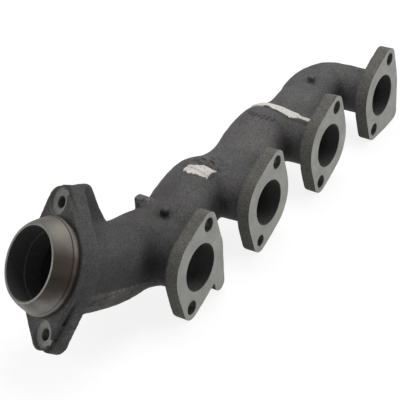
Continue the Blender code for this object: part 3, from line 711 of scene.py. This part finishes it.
# Painted shade: a near-black mixed in by the attribute's third part.
painted_shade_mix = add(tree, "Mix", {"Factor": weather_and_shade.outputs["Z"], 6: flashed.outputs[2],
                         7: linear("#2c2b2b")}, data_type="RGBA")
speck = add(tree, "MapRange", {"Value": grain.outputs["Fac"], "From Min": 0.35,
                               "From Max": 0.65, "To Min": 0.62, "To Max": 1.38})
speckled = add(tree, "VectorMath", {0: painted_shade_mix.outputs[2], "Scale": speck.outputs[0]},
               operation="SCALE")
tree.links.new(speckled.outputs[0], shader.inputs["Base Color"])
bump = add(tree, "Bump", {"Height": grain.outputs["Fac"], "Strength": 0.9,
                          "Distance": 0.5 * MM})
tree.links.new(bump.outputs[0], shader.inputs["Normal"])
shader.inputs["Metallic"].default_value = 0.0
shader.inputs["Roughness"].default_value = 0.72
shader.inputs["Specular IOR Level"].default_value = 0.35

# Milled iron: the flange faces, flat and lighter, with the cutter's fine arcs, open grain and
# slight stains.
STAIN = 14.0
OPEN_GRAIN = 1.1
milled, tree, shader = new_material("milled_iron")
place = object_place(tree)
arcs = add(tree, "TexWave", {"Vector": place, "Scale": 0.55, "Distortion": 1.5,
                             "Detail": 2.0, "Detail Scale": 0.6},
           wave_type="RINGS", rings_direction="Y")
stain = add(tree, "TexNoise", {"Vector": place, "Scale": 1.0 / STAIN, "Detail": 4.0})
tone = add(tree, "ValToRGB", {"Fac": stain.outputs["Fac"]})
tone.color_ramp.elements[0].position = 0.30
tone.color_ramp.elements[0].color = linear("#8f8f8b")
tone.color_ramp.elements[1].position = 0.72
tone.color_ramp.elements[1].color = linear("#a5a5a0")
grain = add(tree, "TexNoise", {"Vector": place, "Scale": 1.0 / OPEN_GRAIN, "Detail": 2.0})
speck = add(tree, "MapRange", {"Value": grain.outputs["Fac"], "From Min": 0.35,
                               "From Max": 0.65, "To Min": 0.84, "To Max": 1.16})
speckled = add(tree, "VectorMath", {0: tone.outputs["Color"], "Scale": speck.outputs[0]},
               operation="SCALE")
tree.links.new(speckled.outputs[0], shader.inputs["Base Color"])
bump = add(tree, "Bump", {"Height": arcs.outputs["Fac"], "Strength": 0.25,
                          "Distance": 0.05 * MM})
tree.links.new(bump.outputs[0], shader.inputs["Normal"])
shader.inputs["Metallic"].default_value = 0.45
shader.inputs["Roughness"].default_value = 0.50

# Cored gas way: unmachined, scaled and sooty black, so it takes nearly all the light.
SCALE_FLAKE = 1.6
sooty, tree, shader = new_material("sooty_cored_iron")
place = object_place(tree)
scale_marks = add(tree, "TexNoise", {"Vector": place, "Scale": 1.0 / SCALE_FLAKE, "Detail": 3.0})
tone = add(tree, "ValToRGB", {"Fac": scale_marks.outputs["Fac"]})
tone.color_ramp.elements[0].color = linear("#3d3d3d")
tone.color_ramp.elements[1].color = linear("#5b5b5a")
tree.links.new(tone.outputs["Color"], shader.inputs["Base Color"])
bump = add(tree, "Bump", {"Height": scale_marks.outputs["Fac"], "Strength": 0.4,
                          "Distance": 0.4 * MM})
tree.links.new(bump.outputs[0], shader.inputs["Normal"])
shader.inputs["Roughness"].default_value = 0.8

# Drilled iron: the walls of the stud holes, dull with oil and swarf.
SWARF = 2.0
drilled, tree, shader = new_material("drilled_iron")
place = object_place(tree)
swarf = add(tree, "TexNoise", {"Vector": place, "Scale": 1.0 / SWARF, "Detail": 2.0})
tone = add(tree, "ValToRGB", {"Fac": swarf.outputs["Fac"]})
tone.color_ramp.elements[0].color = linear("#5c5c5a")
tone.color_ramp.elements[1].color = linear("#82827f")
tree.links.new(tone.outputs["Color"], shader.inputs["Base Color"])
shader.inputs["Metallic"].default_value = 0.5
shader.inputs["Roughness"].default_value = 0.5


def cutter(name, mesh, material):
    """A tool whose faces leave their material in the cut."""
    mesh.materials.append(material)
    obj = bpy.data.objects.new(name, mesh)
    scene.collection.objects.link(obj)
    return obj


def cut(obj, tools):
    """The object's mesh after the tools have cut it; the tools are used up."""
    for tool in tools:
        modifier = obj.modifiers.new(tool.name, "BOOLEAN")
        modifier.object = tool
        modifier.operation = "DIFFERENCE"
        modifier.solver = "MANIFOLD"
        modifier.material_mode = "TRANSFER"
    graph = bpy.context.evaluated_depsgraph_get()
    mesh = bpy.data.meshes.new_from_object(obj.evaluated_get(graph))
    for tool in tools:
        bpy.data.objects.remove(tool)
    return mesh


def turned_rows(profile, origin, axis, side, sides):
    """A profile turned round an axis: the origin, plus the radius times a direction that turns
    once, plus the height along the axis."""
    profile = np.array(profile, float)
    other = np.cross(axis, side)
    turn = np.arange(sides) * 2.0 * np.pi / sides
    ring = np.cos(turn)[:, None] * side + np.sin(turn)[:, None] * other
    return origin + profile[:, None, :1] * ring[None] + profile[:, None, 1:] * axis


def drill_mesh(name, profiles):
    """Several separate drills in one mesh, each a profile turned round its own axis."""
    corners, faces, count = [], [], 0
    for profile, origin, axis, side, sides in profiles:
        rows = turned_rows(profile, origin, axis, side, sides)
        corners.append(rows.reshape(-1, 3))
        faces += [[index + count for index in face] for face in grid_faces(len(profile), sides)]
        count += len(profile) * sides
    return outward(new_mesh(name, np.vstack(corners), faces))


SKIN_VOXEL = 1.45
CORE_VOXEL = 2.4
casting_mesh = skin("casting", rough_mesh, casting_distance, SKIN_VOXEL)
casting_mesh.materials.clear()
casting_mesh.materials.append(sand_cast)
casting = bpy.data.objects.new("casting", casting_mesh)
scene.collection.objects.link(casting)

core_routes = [np.column_stack([route[:, :3], np.maximum(route[:, 3] - WALL, RUNNER_BORE)])
               for route in ROUTES.values()]
core_mesh = skin("core", joined_tubes("rough_core", core_routes), core_distance, CORE_VOXEL)
core_mesh.materials.clear()

# The face mill clears everything in front of the joint with the head.
face_box = slab_rows([(-200.0, 0.0, 100.0), (200.0, 0.0, 100.0)], np.zeros(3), RIGHT, UP,
                     (0.0, 30.0))
face_tool = outward(new_mesh("face_mill", face_box.reshape(-1, 3),
                             grid_faces(*face_box.shape[:2])))

# Each drill is a profile of radius and height out of the iron, with its place, axis, start
# direction and number of sides. Port 2's lower hole is small: it locates the manifold.
HEAD = -BACK
STUD_HOLE = 5.6
LOCATING_HOLE = 4.7
NUT_SEAT = 9.4
ports, studs, seats = [], [], []
for port, x in enumerate(PORTS, 1):
    centre = np.array((x, 0.0, AXIS_HEIGHT / 2.0))
    ports.append(([(RUNNER_BORE - 0.2, -14.0), (RUNNER_BORE, -12.0), (PORT_BORE - 0.4, -4.0),
                   (PORT_BORE, -0.5), (PORT_BORE + 1.0, 0.5), (PORT_BORE + 1.0, 2.0)],
                  centre, HEAD, UP, 64))
    for sign in (1.0, -1.0):
        radius = LOCATING_HOLE if port == 2 and sign < 0 else STUD_HOLE
        place = np.array((x + sign * STUD_X, 0.0, sign * STUD_Z))
        studs.append(([(radius, -20.0), (radius, -0.3), (radius + 0.8, 0.5), (radius + 0.8, 2.0)],
                      place, HEAD, UP, 32))
        seats.append(([(NUT_SEAT, -24.0), (NUT_SEAT, -10.2)], place, HEAD, UP, 40))

# The outlet's holes are tapped, with a crest and a root of thread in each pitch.
THREAD_CREST = 4.3
THREAD_DEPTH = 0.35
HALF_THREAD_PITCH = 0.75
OUTLET_SPOT_FACE = 10.5
OUTLET_BORE = 25.1
thread = [(THREAD_CREST + THREAD_DEPTH * (index % 2), -20.0 + HALF_THREAD_PITCH * index)
          for index in range(27)]
for sign in (1.0, -1.0):
    place = from_outlet(sign * OUTLET_BOLT_REACH, 0.0, STUD_FACE_DEPTH)
    studs.append((thread + [(5.2, 0.2), (5.2, 0.6)], place, OUTLET_AXIS, BOLT_LINE, 32))
    seats.append(([(OUTLET_SPOT_FACE, 0.0), (OUTLET_SPOT_FACE, 9.0)], place, OUTLET_AXIS,
                  BOLT_LINE, 48))
outlet_bore = [([(OUTLET_BORE, -48.0), (OUTLET_BORE, -10.0)], RIM_CENTRE, OUTLET_AXIS,
                BOLT_LINE, 96)]

machined = cut(casting, [
    cutter("face_mill", face_tool, milled),
    cutter("core", core_mesh, sooty),
    cutter("port_reamer", drill_mesh("port_reamer", ports + outlet_bore), sooty),
    cutter("spot_facer", drill_mesh("spot_facer", seats), milled),
    cutter("stud_drill", drill_mesh("stud_drill", studs), drilled)])
bpy.data.objects.remove(casting)


def side_of_plane(mesh, name, depth, keep_front):
    """The part of a closed mesh in front of or behind a plane square to Y, closed again."""
    shape = bmesh.new()
    shape.from_mesh(mesh)
    everything = shape.verts[:] + shape.edges[:] + shape.faces[:]
    bmesh.ops.bisect_plane(shape, geom=everything, plane_co=(0.0, depth * MM, 0.0),
                           plane_no=(0.0, 1.0, 0.0), clear_outer=keep_front,
                           clear_inner=not keep_front)
    rim = [edge for edge in shape.edges if edge.is_boundary]
    bmesh.ops.triangle_fill(shape, use_beauty=True, edges=rim)
    bmesh.ops.recalc_face_normals(shape, faces=shape.faces)
    made = bpy.data.meshes.new(name)
    for material in mesh.materials:
        made.materials.append(material)
    shape.to_mesh(made)
    shape.free()
    return made


def finished(name, mesh, replaced, sharp=38.0):
    """A piece at the origin that rides on the casting and stands for CAD nodes."""
    mesh.shade_smooth()
    mesh.set_sharp_from_angle(angle=np.radians(sharp))
    mesh.name = name
    piece = bpy.data.objects.new(name, mesh)
    scene.collection.objects.link(piece)
    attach(piece, "root")
    if replaced:
        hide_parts(*replaced)
    return piece


# Probes and weight of the painted shade in hollows, and weight of the darkening towards the
# outlet.
NEAR_PROBE = 6.0
FAR_PROBE = 17.0
SHADE_IN_HOLLOWS = 0.29
DARKENING_BY_OUTLET = 0.42


def add_weathering_and_shade(mesh):
    """Store, at each corner, where the casting was fettled or rubbed, where flash was left, and
    how much painted shade and darkening it gets: painted shade in hollows, where the iron is
    nearer than free space would be to points out along the normal, and in the laps' creases,
    and darkening towards the outlet."""
    places = corner_places(mesh)
    flat = np.empty(len(mesh.vertices) * 3)
    mesh.vertex_normals.foreach_get("vector", flat)
    normals = flat.reshape(-1, 3)
    under, on_neck = under_parting(places)
    bare_and_lit = on_neck * eased(under, -0.2, 1.2)
    flash = np.clip(on_neck * flash_height(places, under), 0.0, 1.0)
    near_gap, far_gap = (casting_distance(places + probe * normals) / probe
                         for probe in (NEAR_PROBE, FAR_PROBE))
    # Painted shade in the troughs of the laps' folds.
    crease_shade = np.clip(-3.0 * wrinkles(places), 0.0, 1.0)
    toward = -places[:, 0]
    by_outlet = eased(toward, 40.0, 170.0) * (1.0 - 0.4 * eased(toward, 222.0, 245.0))
    # Painted shade in hollows, from the near and the far probe.
    hollow_shade = eased(1.0 - near_gap, 0.08, 0.9) + eased(1.0 - far_gap, 0.1, 0.9)
    shade_and_darkening = np.clip(SHADE_IN_HOLLOWS * hollow_shade + DARKENING_BY_OUTLET * by_outlet + crease_shade,
                         0.0, 1.0)
    # The bracket boss is painted lighter with the fettled tone and kept clear of painted shade,
    # standing in for light on its face; the lower web is made lighter and kept clear of it too.
    on_boss = eased(-boss_distance(places), -1.5, 0.0)
    rel = places - RIM_CENTRE
    on_lower_web = eased(-(rel @ BOLT_LINE), 24.0, 36.0) * eased(-(rel @ OUTLET_AXIS), 26.0, 31.0)
    shade_and_darkening *= 1.0 - np.maximum(on_boss, on_lower_web)
    bare_and_lit = np.maximum(bare_and_lit, np.maximum(0.8 * on_boss, 0.6 * on_lower_web))
    attribute = mesh.attributes.new("weathering_and_shade", "FLOAT_VECTOR", "POINT")
    attribute.data.foreach_set("vector", np.stack([bare_and_lit, flash, shade_and_darkening], axis=1).ravel())


body_mesh = side_of_plane(machined, "casting_body", FLANGE_SEAM, keep_front=False)
add_weathering_and_shade(body_mesh)
body_nodes = ["end_elbow", "outlet_neck", "outlet_flange", "gusset_upper", "gusset_lower",
              "bracket_boss", "cast_pip_1", "cast_pip_2"]
body_nodes += [f"runner_{port}" for port in (1, 2, 3, 4)]
body_nodes += [f"{kind}_{port}" for kind in ("junction", "log_pipe") for port in (1, 2, 3)]
finished("casting_body", body_mesh, body_nodes)


# ------------------------------------------------------------------ port flanges
# Four plates of the same casting that bolt to the head. Their faces are milled flat in one
# pass, their bores are blended into the ports, and their edges stay as cast.

front_mesh = side_of_plane(machined, "flanges", FLANGE_SEAM, keep_front=True)


def near_port(mesh, x):
    """The corners and faces of a mesh that lie within half a pitch of a port."""
    shape = bmesh.new()
    shape.from_mesh(mesh)
    far = [vert for vert in shape.verts if abs(vert.co.x / MM - x) > PITCH / 2.0]
    bmesh.ops.delete(shape, geom=far, context="VERTS")
    made = bpy.data.meshes.new("flange")
    for material in mesh.materials:
        made.materials.append(material)
    shape.to_mesh(made)
    shape.free()
    return made


for port, x in enumerate(PORTS, 1):
    finished(f"port_flange_plate_{port}", near_port(front_mesh, x), [f"port_flange_{port}"])


# ------------------------------------------------------------------ outlet seat
# The turned end of the outlet: a convex seat for the pipe's ball joint, a bead and an undercut
# behind it, and a smooth bore with a step inside. Heat has left it straw to brown, and painted
# reflection makes it lighter at both ends of the bolt line and darker between.

SEAT_SPHERE = 37.0
SEAT_SPHERE_BACK = 23.2
SEAT_BORE = 27.2
RIM_DEPTH = 0.7
SEAT_SIDES = 160
# The profile runs from the bore's step over the rim, down the ball seat and the bead, and back
# under the collar. The ball's radius squared, less the square of the way to its centre, is the
# square of the seat's radius.
convex = [(np.sqrt(SEAT_SPHERE ** 2 - (SEAT_SPHERE_BACK - depth) ** 2), -depth)
          for depth in np.linspace(0.5, 12.4, 16)]
seat_profile = ([(SEAT_BORE, -17.0), (SEAT_BORE, -RIM_DEPTH), (27.8, -0.1), (28.3, 0.0),
                 (28.75, -0.15)] + convex
                + [(35.1, -12.6), (35.1, -13.0), (36.0, -13.2), (36.3, -13.6), (36.3, -15.0),
                   (35.9, -15.5), (34.6, -15.8), (34.2, -16.4), (34.2, -19.6),
                   (OUTLET_BORE, -19.6), (OUTLET_BORE, -17.2), (25.4, -17.0)])
seat_rows = turned_rows(seat_profile, RIM_CENTRE, OUTLET_AXIS, BOLT_LINE, SEAT_SIDES)
count = len(seat_profile)
row, side = np.meshgrid(np.arange(count), np.arange(SEAT_SIDES), indexing="ij")
this_ring, next_ring = row * SEAT_SIDES, (row + 1) % count * SEAT_SIDES
after = (side + 1) % SEAT_SIDES
seat_faces = np.stack([this_ring + side, this_ring + after, next_ring + after,
                       next_ring + side], axis=-1).reshape(-1, 4).tolist()
seat_mesh = outward(new_mesh("outlet_seat_ring", seat_rows.reshape(-1, 3), seat_faces))

# Turned iron: bright but oxidised, with the tool's fine rings round the outlet's axis. Up the
# line of the two bolts the colour goes from steel grey through brown to straw: the brown is the
# heat's tint, and the light ends with the dark band between them are painted reflection.
RINGS_PER_MM = 3.0
BLOTCH = 16.0
TINT_AND_REFLECTION_SPAN = 80.0
turned_iron, tree, shader = new_material("turned_iron")
place = object_place(tree)
from_centre = add(tree, "VectorMath", {0: place, 1: tuple(RIM_CENTRE)}, operation="SUBTRACT")
depth = add(tree, "VectorMath", {0: from_centre.outputs[0], 1: tuple(-OUTLET_AXIS)},
            operation="DOT_PRODUCT")
height = add(tree, "VectorMath", {0: from_centre.outputs[0], 1: tuple(BOLT_LINE)},
             operation="DOT_PRODUCT")
rings = add(tree, "TexNoise", {"W": depth.outputs["Value"], "Scale": RINGS_PER_MM, "Detail": 4.0,
                               "Roughness": 0.7}, noise_dimensions="1D")
blotch = add(tree, "TexNoise", {"Vector": place, "Scale": 1.0 / BLOTCH, "Detail": 3.0})
level = add(tree, "Math", {0: height.outputs["Value"], 1: 1.0 / TINT_AND_REFLECTION_SPAN, 2: 0.38},
            operation="MULTIPLY_ADD")
mottled = add(tree, "Math", {0: blotch.outputs["Fac"], 1: 0.24, 2: level.outputs[0]},
              operation="MULTIPLY_ADD")
# Painted reflection: light at both ends of the ramp and a dark band between, by height along the
# bolts.
tint_and_reflection = add(tree, "ValToRGB", {"Fac": mottled.outputs[0]})
ramp = tint_and_reflection.color_ramp
ramp.elements[0].position = 0.10
ramp.elements[0].color = linear("#868380")
ramp.elements[1].position = 0.82
ramp.elements[1].color = linear("#837f79")
for position, colour in ((0.20, "#57524d"), (0.28, "#3f3934"), (0.36, "#3d3630"),
                         (0.44, "#584e45"), (0.58, "#5d534a"), (0.68, "#79736c")):
    stop = ramp.elements.new(position)
    stop.color = linear(colour)
tree.links.new(tint_and_reflection.outputs["Color"], shader.inputs["Base Color"])
ring_rough = add(tree, "MapRange", {"Value": rings.outputs["Fac"], "From Min": 0.3,
                                    "From Max": 0.7, "To Min": 0.50, "To Max": 0.64})
tree.links.new(ring_rough.outputs[0], shader.inputs["Roughness"])
bump = add(tree, "Bump", {"Height": rings.outputs["Fac"], "Strength": 0.25,
                          "Distance": 0.04 * MM})
tree.links.new(bump.outputs[0], shader.inputs["Normal"])
shader.inputs["Metallic"].default_value = 0.6
for material in (turned_iron, sooty, milled):
    seat_mesh.materials.append(material)
finish = []
for start, end in zip(seat_profile, seat_profile[1:] + seat_profile[:1]):
    in_bore = max(start[0], end[0]) <= SEAT_BORE
    on_rim = min(start[1], end[1]) >= -RIM_DEPTH
    finish.append(1 if in_bore else 2 if on_rim else 0)
slots = np.repeat(finish, SEAT_SIDES).astype(np.int32)
seat_mesh.polygons.foreach_set("material_index", slots)
finished("outlet_seat_ring", seat_mesh, ["outlet_seat"], sharp=30.0)


# ------------------------------------------------------------------ paint marks
# Off-white marking paint, dabbed by hand over two raised pads, so its edges are ragged and it
# is thin over the pads' low spots.

# Marking paint: chalky and dry, with the grey iron showing where the brush ran thin.
BRUSH_MARK = 2.2
marking_paint, tree, shader = new_material("marking_paint")
place = object_place(tree)
thin = add(tree, "TexNoise", {"Vector": place, "Scale": 1.0 / BRUSH_MARK, "Detail": 4.0,
                              "Roughness": 0.7})
tone = add(tree, "ValToRGB", {"Fac": thin.outputs["Fac"]})
tone.color_ramp.elements[0].position = 0.32
tone.color_ramp.elements[0].color = linear("#aaa59d")
tone.color_ramp.elements[1].position = 0.46
tone.color_ramp.elements[1].color = linear("#eae6df")
tree.links.new(tone.outputs["Color"], shader.inputs["Base Color"])
bump = add(tree, "Bump", {"Height": thin.outputs["Fac"], "Strength": 0.5,
                          "Distance": 0.3 * MM})
tree.links.new(bump.outputs[0], shader.inputs["Normal"])
shader.inputs["Roughness"].default_value = 0.75

PAINT_THICKNESS = 0.3
ABOVE_CASTING = 40.0
LET_DOWN_STEPS = 24


def on_casting(places, lift):
    """Places let down along Z on to the casting, by repeated steps of their distance less the
    lift."""
    places = places.copy()
    for _ in range(LET_DOWN_STEPS):
        places[:, 2] -= casting_distance(places) - lift
    return places


def ragged(count, seed, size):
    """Edge wander: each value is the mean of five in a row of random noise, times a size."""
    noise = np.random.default_rng(seed).normal(0.0, 1.0, count + 8)
    return size * np.convolve(noise, np.ones(5) / 5.0, mode="same")[4:count + 4]


def slab_faces(rows, columns, to_back):
    """Faces of a thin slab: a grid's top, its back that many corners later, and the walls round
    the rim between them."""
    row, column = np.meshgrid(np.arange(rows - 1), np.arange(columns - 1), indexing="ij")
    corner = row * columns + column
    quads = np.stack([corner, corner + 1, corner + columns + 1, corner + columns], axis=-1)
    quads = quads.reshape(-1, 4)
    rim = np.concatenate([np.arange(columns), np.arange(1, rows) * columns + columns - 1,
                          np.arange(columns - 2, -1, -1) + (rows - 1) * columns,
                          np.arange(rows - 2, 0, -1) * columns])
    after = np.roll(rim, -1)
    walls = np.stack([rim, after, after + to_back, rim + to_back], axis=-1)
    return quads.tolist() + (quads[:, ::-1] + to_back).tolist() + walls.tolist()


def paint_mark(node, seed, stations):
    """A dab of paint: a grid between two ragged edges, laid on the casting and given a back.
    Each station holds a distance along Y from the pad's start and the two edges' X there."""
    low, high = box_mm(node)
    rows, columns = 72, 14
    stations = np.array(stations)
    along = np.linspace(stations[0, 0], stations[-1, 0], rows)
    edge_left = np.interp(along, stations[:, 0], stations[:, 1]) + ragged(rows, seed, 1.2)
    edge_right = np.interp(along, stations[:, 0], stations[:, 2]) + ragged(rows, seed + 1, 0.6)
    share = np.linspace(0.0, 1.0, columns)
    x = edge_left[:, None] + (edge_right - edge_left)[:, None] * share
    grid = np.stack([(low + high)[0] / 2.0 + x, low[1] + np.repeat(along[:, None], columns, 1),
                     np.full(x.shape, ABOVE_CASTING)], axis=-1).reshape(-1, 3)
    top = on_casting(grid, PAINT_THICKNESS)
    bottom = on_casting(grid, -PAINT_THICKNESS)
    faces = slab_faces(rows, columns, rows * columns)
    mesh = outward(new_mesh(node + "_mark", np.vstack([top, bottom]), faces))
    mesh.materials.append(marking_paint)
    finished(node + "_mark", mesh, [node], sharp=60.0)


paint_mark("paint_pad_3", 11, [(1.0, -2.6, 1.0), (12.5, -2.4, 1.6), (14.5, -2.6, 4.4),
                               (34.0, -3.4, 4.6), (46.0, -5.0, 5.4), (56.0, -5.6, 5.6),
                               (60.0, -4.4, 5.0)])
paint_mark("paint_pad_2", 23, [(1.5, -6.0, 8.5), (6.0, -8.0, 4.5), (12.5, -10.5, 0.5),
                               (17.0, -11.5, -2.0), (19.0, -10.5, -3.0), (21.5, -7.5, -5.5)])


# ------------------------------------------------------------------ tally ticks
# A row of short raised bars beside the long pad, cast with the body, as a foundry marks which
# box of the pattern a casting came from. Painted shade lies round their feet.

TICKS = 7
TICK_PITCH = 3.6
TICK_WIDTH = 1.7
TICK_RAISE = 0.8
TICK_SINK = 0.4
ROWS, COLUMNS = 9, 5
# Each bar is a grid of rows along X and columns along Y, and the row of bars bends with the
# shoulder. The crown is flat on top and falls away at the bar's edges.
low, high = box_mm("paint_pad_3")
tick, row, column = np.meshgrid(np.arange(TICKS), np.linspace(-1.0, 1.0, ROWS),
                                np.linspace(-1.0, 1.0, COLUMNS), indexing="ij")
tick_y = high[1] - 6.5 - tick * TICK_PITCH
tick_x = (low + high)[0] / 2.0 - 21.0 + 0.03 * (tick_y - 55.0) ** 2
half_length = np.where(tick % 3 > 0, 3.3, 2.2)
grid = np.stack([tick_x + half_length * row, tick_y + TICK_WIDTH / 2.0 * column,
                 np.full(row.shape, ABOVE_CASTING)], axis=-1).reshape(-1, 3)
crown = 1.0 - np.maximum(np.abs(row), np.abs(column)) ** 6
top = on_casting(grid, 0.0)
bottom = on_casting(grid, -TICK_SINK)
top[:, 2] += TICK_RAISE * crown.ravel() - 0.05
one_tick = slab_faces(ROWS, COLUMNS, TICKS * ROWS * COLUMNS)
faces = [[index + which * ROWS * COLUMNS for index in face]
         for which in range(TICKS) for face in one_tick]
tick_mesh = outward(new_mesh("tally_ticks", np.vstack([top, bottom]), faces))
tick_mesh.materials.append(sand_cast)
# Painted shade: dark round each bar's foot and on its underside, none on its crown.
tick_foot_shade = np.concatenate([0.9 * (1.0 - crown.ravel()), np.ones(crown.size)])
attribute = tick_mesh.attributes.new("weathering_and_shade", "FLOAT_VECTOR", "POINT")
attribute.data.foreach_set("vector", (tick_foot_shade[:, None] * (0.0, 0.0, 1.0)).ravel())
finished("tally_ticks", tick_mesh, [], sharp=60.0)
